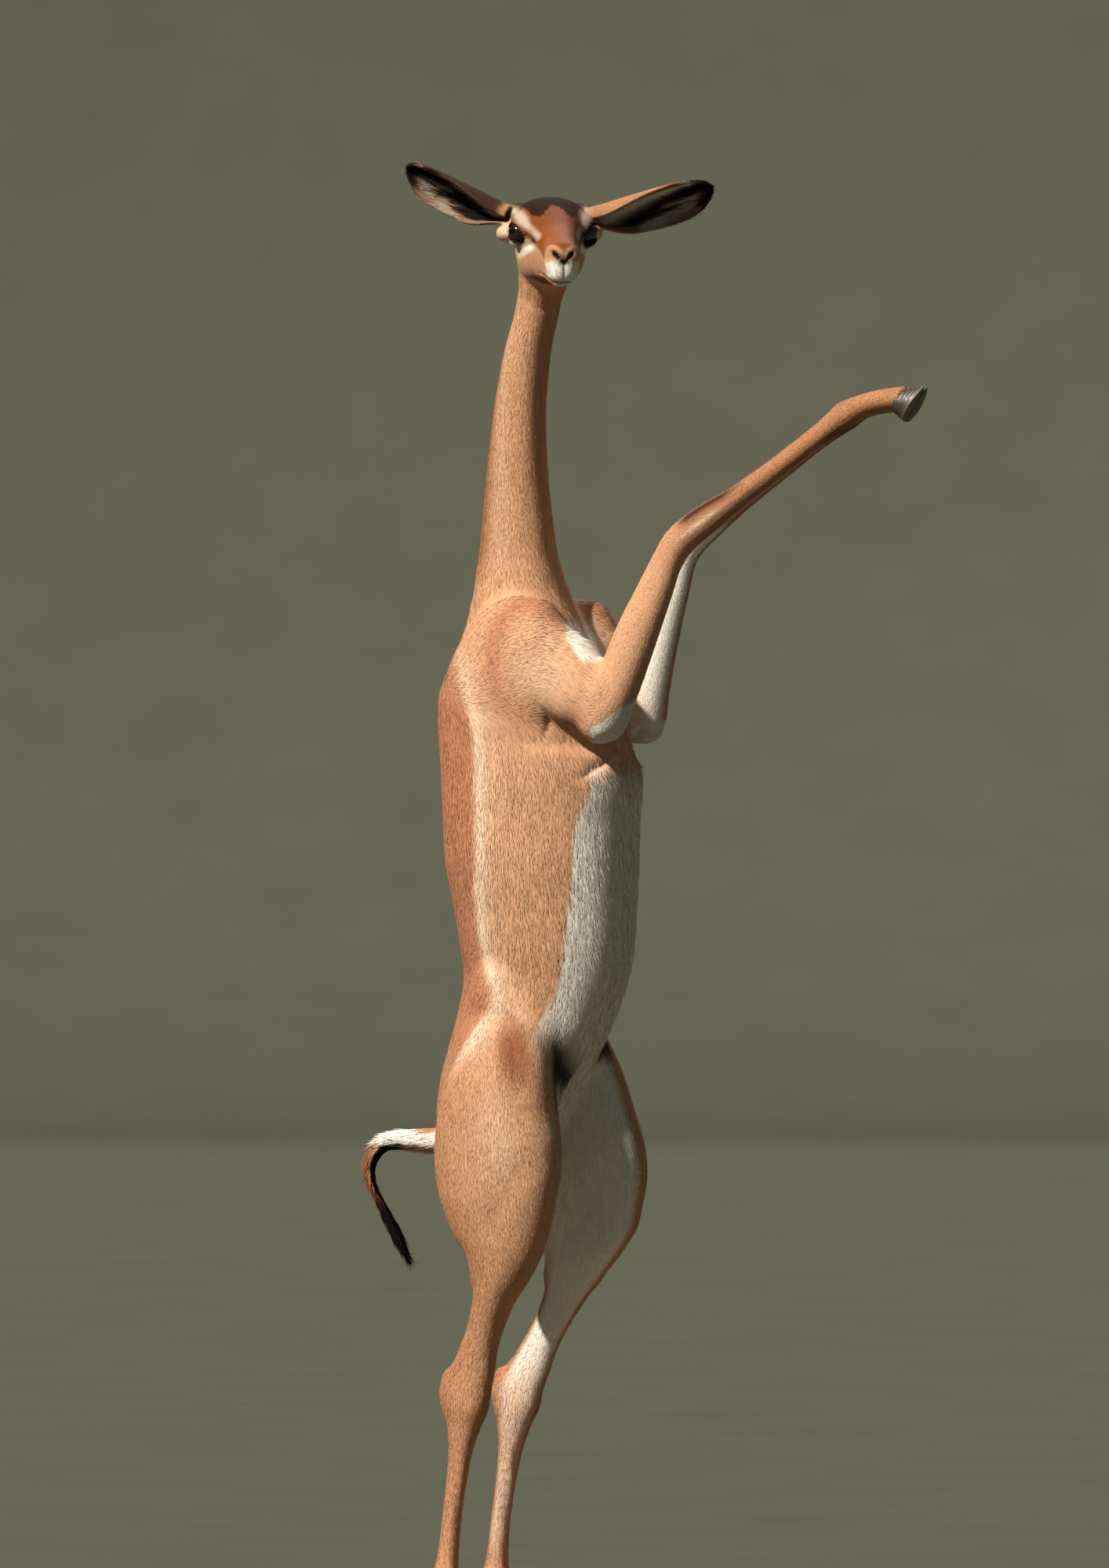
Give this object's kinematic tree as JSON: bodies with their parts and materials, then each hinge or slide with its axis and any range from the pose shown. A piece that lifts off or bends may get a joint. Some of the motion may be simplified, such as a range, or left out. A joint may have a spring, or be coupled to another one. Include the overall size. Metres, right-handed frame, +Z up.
{
  "type": "gerenuk",
  "caption": "Life-size model of a hornless adult gerenuk, an antelope reared upright on its hind legs with its forelegs raised and its head turned aside, on a flat base.",
  "frame": {"origin": "on the base's underside, below the point between the two hind feet", "axes": "+Z up the body towards the head; +X the way the belly and the raised forelegs point; +Y the animal's left"},
  "size_m": [0.9096, 0.5, 1.9185],
  "materials": {
    "coat": "short tan fur, white below",
    "dark_coat": "black tail hair",
    "eye": "wet gloss",
    "horn": "satin horn",
    "base": "satin"
  },
  "bodies": {
    "root": {"head": "coat", "ear_right": "coat", "ear_left": "coat", "eye_right": "eye", "eye_left": "eye", "neck_upper": "coat", "neck_lower": "coat", "trunk_chest": "coat", "trunk_belly": "coat", "trunk_rump": "coat", "tail_upper": "coat", "tail_lower": "dark_coat", "foreleg_right_forearm": "coat", "foreleg_right_cannon": "coat", "foreleg_right_pastern": "coat", "foreleg_left_forearm": "coat", "foreleg_left_cannon": "coat", "foreleg_left_pastern": "coat", "hindleg_right_thigh": "coat", "hindleg_right_shank": "coat", "hindleg_right_cannon": "coat", "hindleg_right_pastern": "coat", "hindleg_left_thigh": "coat", "hindleg_left_shank": "coat", "hindleg_left_cannon": "coat", "hindleg_left_pastern": "coat", "hoof_fore_right_inner": "horn", "hoof_fore_right_outer": "horn", "hoof_fore_left_inner": "horn", "hoof_fore_left_outer": "horn", "hoof_hind_right_inner": "horn", "hoof_hind_right_outer": "horn", "hoof_hind_left_inner": "horn", "hoof_hind_left_outer": "horn", "stand_base": "base"}
  },
  "joints": []
}
